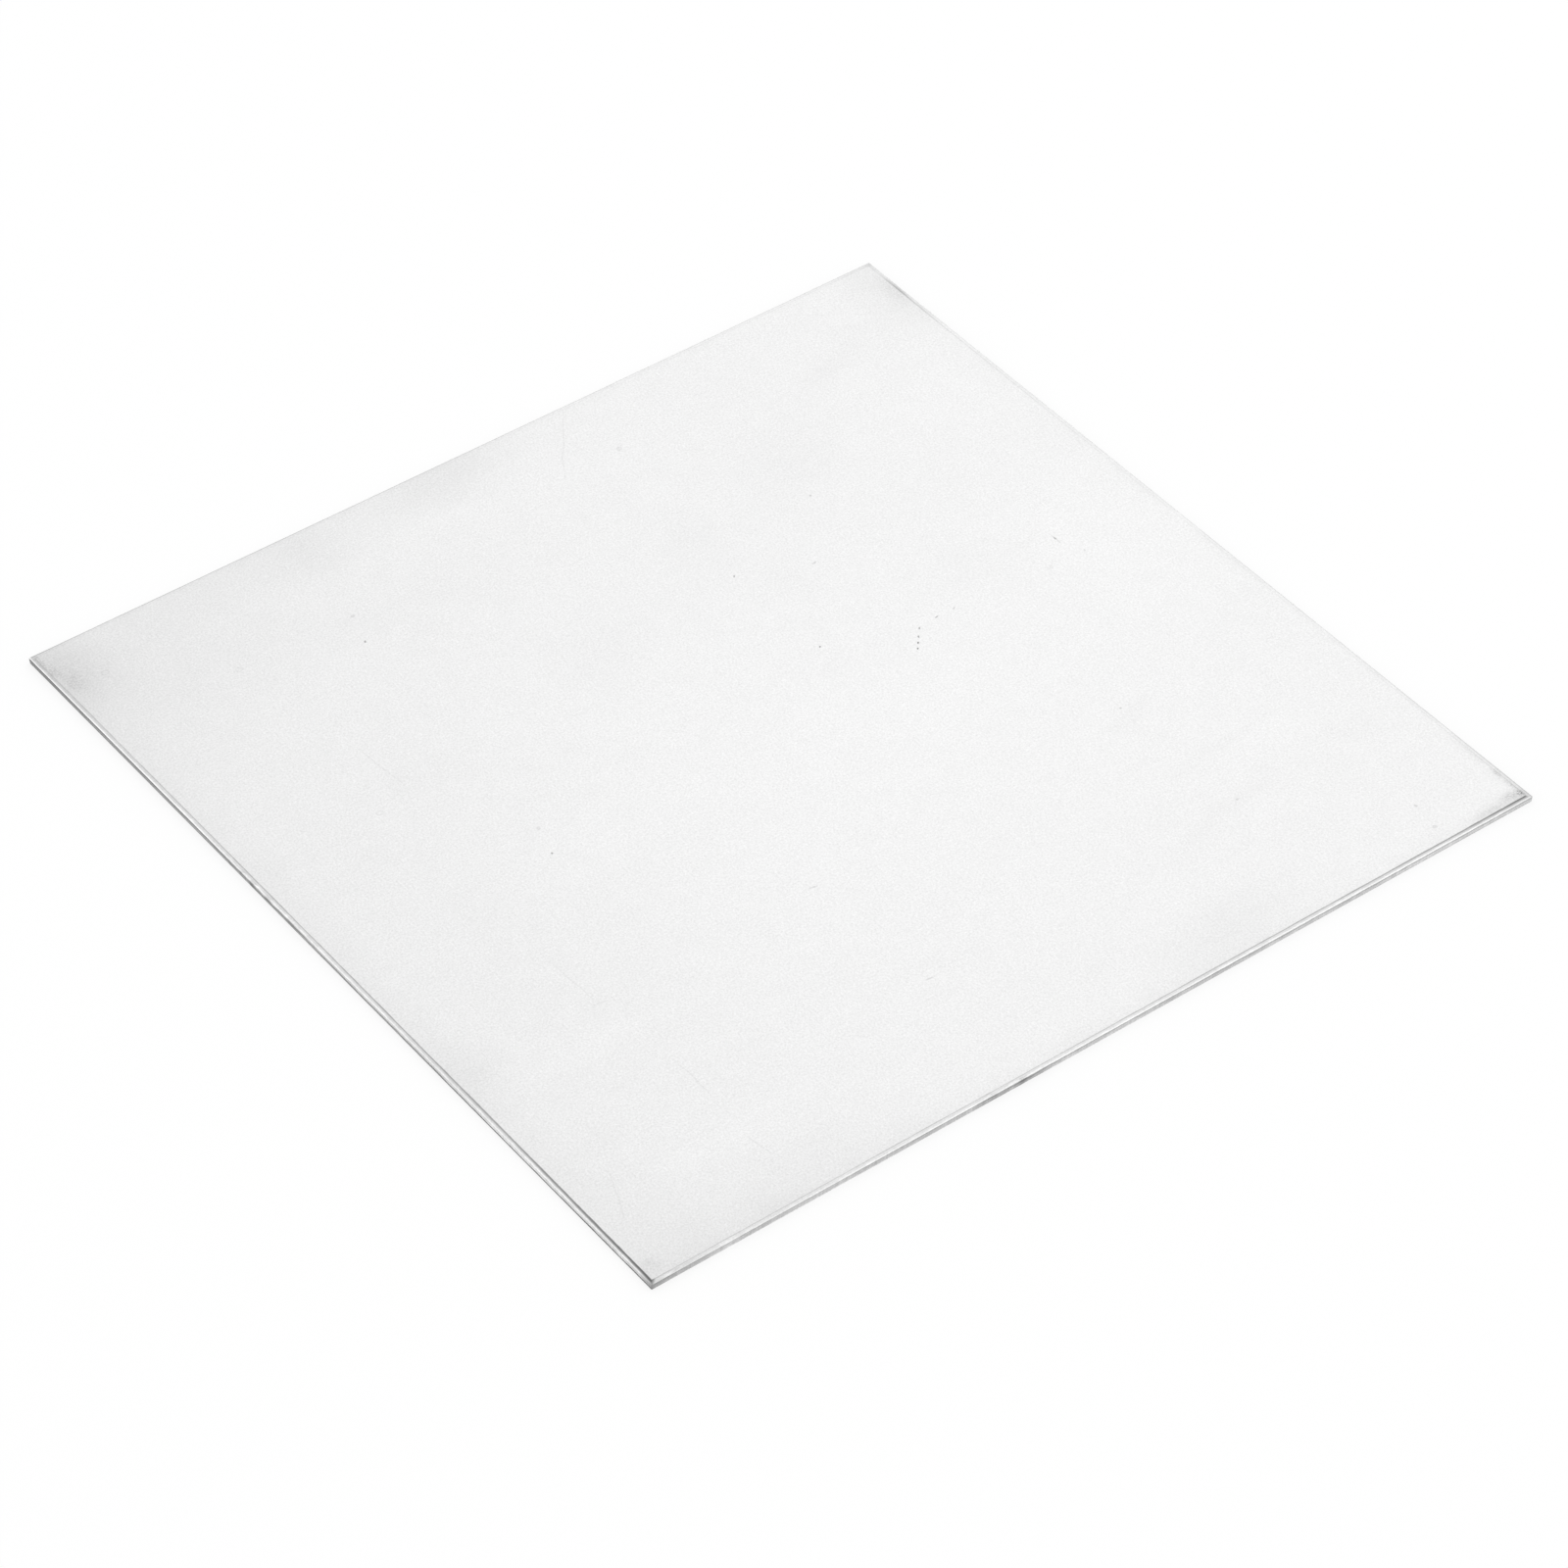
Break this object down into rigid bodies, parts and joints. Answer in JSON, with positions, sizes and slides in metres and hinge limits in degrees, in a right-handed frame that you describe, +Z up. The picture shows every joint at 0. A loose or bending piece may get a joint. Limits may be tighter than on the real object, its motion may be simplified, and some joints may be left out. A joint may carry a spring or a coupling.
{
  "type": "titanium sheet",
  "caption": "Flat square piece of thin titanium sheet with sheared edges and a matte rolled surface.",
  "frame": {"origin": "middle of the underside, on the floor the sheet lies on", "axes": "+Z up out of the sheet's top face, +X and +Y along its sides"},
  "size_m": [0.15, 0.15, 0.001],
  "materials": {
    "titanium": "matte"
  },
  "bodies": {
    "root": {"titanium_sheet": "titanium"}
  },
  "joints": []
}
